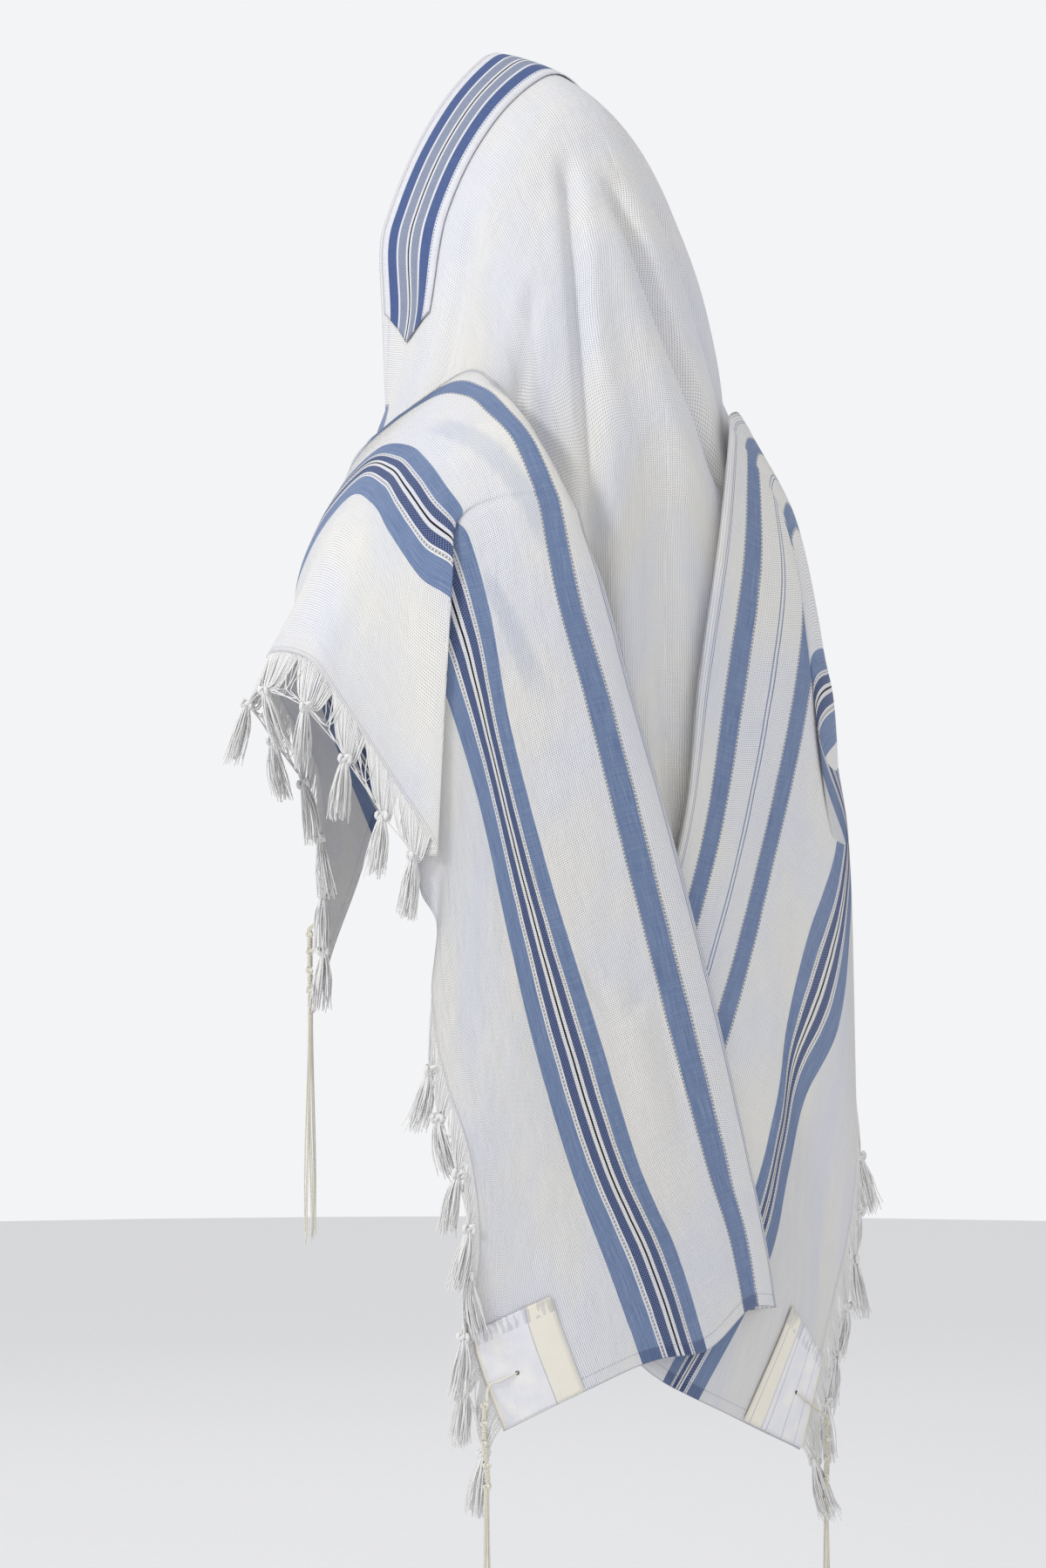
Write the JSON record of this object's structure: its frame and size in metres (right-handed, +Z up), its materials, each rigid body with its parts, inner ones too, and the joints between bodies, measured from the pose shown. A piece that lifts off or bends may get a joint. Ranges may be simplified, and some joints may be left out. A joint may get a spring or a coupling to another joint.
{
  "type": "worn tallit prayer shawl",
  "caption": "Striped white woven prayer shawl worn over the head and shoulders, with a neckband, corner patches, knotted fringes and corner tassels.",
  "frame": {"origin": "the inside of the hood at the crown, where the wearer's head holds the shawl", "axes": "+Z up, +Y towards the wearer's back, +X towards the wearer's left hand"},
  "size_m": [0.6835, 0.3712, 1.5592],
  "materials": {
    "cloth": "matt white basket weave with blue, navy and black woven stripes",
    "neckband": "matt close weave striped lengthwise in dark blue, grey blue, black and white",
    "patch": "smooth cream satin",
    "fringe": "soft white yarn, netted and knotted",
    "tassel": "off-white twisted wool string"
  },
  "bodies": {
    "root": {"hood_and_back": "cloth", "left_side": "cloth", "right_side": "cloth", "neckband": "neckband", "patch_left_front": "patch", "patch_left_back": "patch", "patch_right_front": "patch", "patch_right_back": "patch", "fringe_left_upper": "fringe", "fringe_left_lower": "fringe", "fringe_right_front": "fringe", "fringe_right_back": "fringe", "tassel_left_front_loop": "tassel", "tassel_left_front_winding": "tassel", "tassel_left_front_strings": "tassel", "tassel_left_back_loop": "tassel", "tassel_left_back_winding": "tassel", "tassel_left_back_strings": "tassel", "tassel_right_front_loop": "tassel", "tassel_right_front_winding": "tassel", "tassel_right_front_strings": "tassel", "tassel_right_back_loop": "tassel", "tassel_right_back_winding": "tassel", "tassel_right_back_strings": "tassel"}
  },
  "joints": []
}
